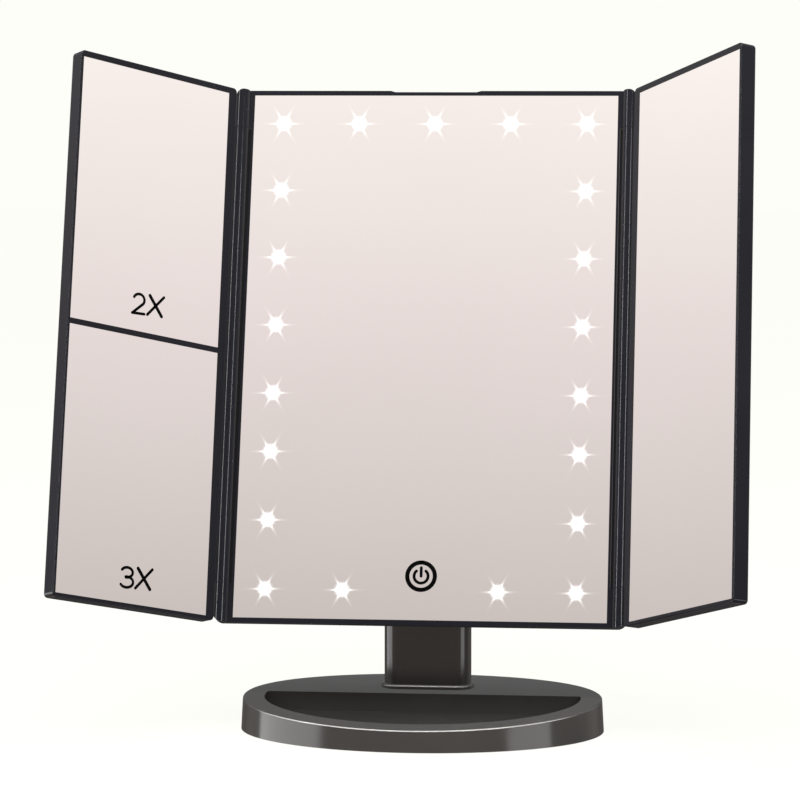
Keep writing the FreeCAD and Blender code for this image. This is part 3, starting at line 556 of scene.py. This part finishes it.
# The studio's brightness by how far a direction leans along the hinge lines, from -1 to 1. Every pane
# keeps that lean in its reflection, however it folds. At rest, seen from the camera, the panes show
# about 0.16 at their feet and 0.30 at their tops.
SKY = [(-1.0, (0.25, 0.23, 0.22)), (-0.42, (0.66, 0.52, 0.47)), (-0.36, (0.95, 0.76, 0.70)),
       (-0.24, (0.36, 0.33, 0.32)), (0.0, (0.36, 0.335, 0.325)), (0.10, (0.48, 0.445, 0.43)),
       (0.15, (0.58, 0.525, 0.50)), (0.24, (0.83, 0.74, 0.72)), (0.31, (1.0, 0.93, 0.89)),
       (0.4, (1.0, 1.0, 1.0)), (1.0, (1.1, 1.1, 1.1))]
# A dark card behind the object, which its base top and undersides reflect.
BLACK_CARD = Vector((-0.1, 0.99, 0.05))
CARD_EDGE = [(0.60, (1, 1, 1)), (0.82, (0.23, 0.23, 0.23))]
BACKDROP = (0.99, 0.99, 0.945, 1.0)


def make_world():
    """A plain pale room to the camera. To everything else, the shaped light of SKY and its card."""
    world = bpy.data.worlds.new("studio")
    bpy.context.scene.world = world
    world.use_nodes = True
    nodes = world.node_tree.nodes
    links = world.node_tree.links
    nodes.clear()
    output = nodes.new("ShaderNodeOutputWorld")
    direction = nodes.new("ShaderNodeTexCoord").outputs["Generated"]

    def toward(vector):
        dot = nodes.new("ShaderNodeVectorMath")
        dot.operation = "DOT_PRODUCT"
        dot.inputs[1].default_value = vector
        links.new(direction, dot.inputs[0])
        return dot.outputs["Value"]

    def colours(value, stops):
        node = nodes.new("ShaderNodeValToRGB")
        elements = node.color_ramp.elements
        while len(elements) < len(stops):
            elements.new(0.5)
        for element, (lean, colour) in zip(elements, stops):
            element.position = (lean + 1) / 2
            element.color = (*colour, 1.0)
        raised = nodes.new("ShaderNodeMath")
        raised.operation = "MULTIPLY_ADD"
        raised.inputs[1].default_value = 0.5
        raised.inputs[2].default_value = 0.5
        links.new(value, raised.inputs[0])
        links.new(raised.outputs[0], node.inputs["Fac"])
        return node.outputs["Color"]

    sky = colours(toward(HINGE_UP), SKY)
    card = colours(toward(BLACK_CARD.normalized()), CARD_EDGE)
    shaded = nodes.new("ShaderNodeMix")
    shaded.data_type = "RGBA"
    shaded.blend_type = "MULTIPLY"
    shaded.inputs[0].default_value = 1.0
    links.new(sky, shaded.inputs[6])
    links.new(card, shaded.inputs[7])
    studio = nodes.new("ShaderNodeBackground")
    links.new(shaded.outputs[2], studio.inputs["Color"])
    plain = nodes.new("ShaderNodeBackground")
    plain.inputs["Color"].default_value = BACKDROP
    rays = nodes.new("ShaderNodeLightPath")
    mix = nodes.new("ShaderNodeMixShader")
    links.new(rays.outputs["Is Camera Ray"], mix.inputs[0])
    links.new(studio.outputs[0], mix.inputs[1])
    links.new(plain.outputs[0], mix.inputs[2])
    links.new(mix.outputs[0], output.inputs["Surface"])



def upright_light(name, azimuth, distance, width, bottom, top, radiance):
    """An upright light panel that faces the object."""
    height = top - bottom
    power = math.pi * width * height * radiance
    area_light(name, azimuth, 0, distance, width, height, power, Vector((0, 0, (top + bottom) / 2)))


def make_lights():
    upright_light("left_box", -78, 0.9, 0.90, -0.25, 0.10, 4.3)
    upright_light("right_box", 60, 0.9, 0.48, -0.25, 0.06, 3.3)
    upright_light("left_strip", -64, 1.2, 0.10, 0.30, 1.0, 30.0)
    upright_light("right_strip", 38, 1.2, 0.10, 0.30, 1.0, 30.0)
    area_light("front_strip", -6, 60, 1.5, 1.2, 0.12, 18.0, Vector((0, 0, 0)))
    area_light("overhead", 0, 86, 1.6, 1.0, 0.7, 9.0, Vector((0, 0, 0)))


GLARE = {
    "Threshold": 10.0, "Strength": 0.13, "Streaks": 6, "Iterations": 3, "Fade": 0.75, "Color Modulation": 0.0}


def make_glare():
    """Small star points around the lit windows, as a lens gives them."""
    scene = bpy.context.scene
    scene.use_nodes = True
    tree = scene.node_tree
    tree.nodes.clear()
    layers = tree.nodes.new("CompositorNodeRLayers")
    glare = tree.nodes.new("CompositorNodeGlare")
    glare.glare_type = "STREAKS"
    glare.quality = "HIGH"
    for setting, value in GLARE.items():
        glare.inputs[setting].default_value = value
    output = tree.nodes.new("CompositorNodeComposite")
    tree.links.new(layers.outputs["Image"], glare.inputs["Image"])
    tree.links.new(glare.outputs["Image"], output.inputs["Image"])


def hide_from_reflections(pieces):
    """Keeps all but the base shell out of reflections, so the panes show only the plain studio."""
    bodies = frame["record"]["behaviour"]["bodies"]
    for body, nodes in bodies.items():
        hidden = [name for name in nodes if body != "stand" or name != "base_shell"]
        pieces = pieces + [frame["nodes"][name] for name in hidden]
    for piece in pieces:
        piece.visible_glossy = False


scene = bpy.context.scene
scene.view_settings.view_transform = "Standard"
make_camera()
dress_cad_nodes()
extra_pieces = make_marks() + [make_lamp_glow()]
make_floor()
make_world()
make_lights()
make_glare()
hide_from_reflections(extra_pieces)
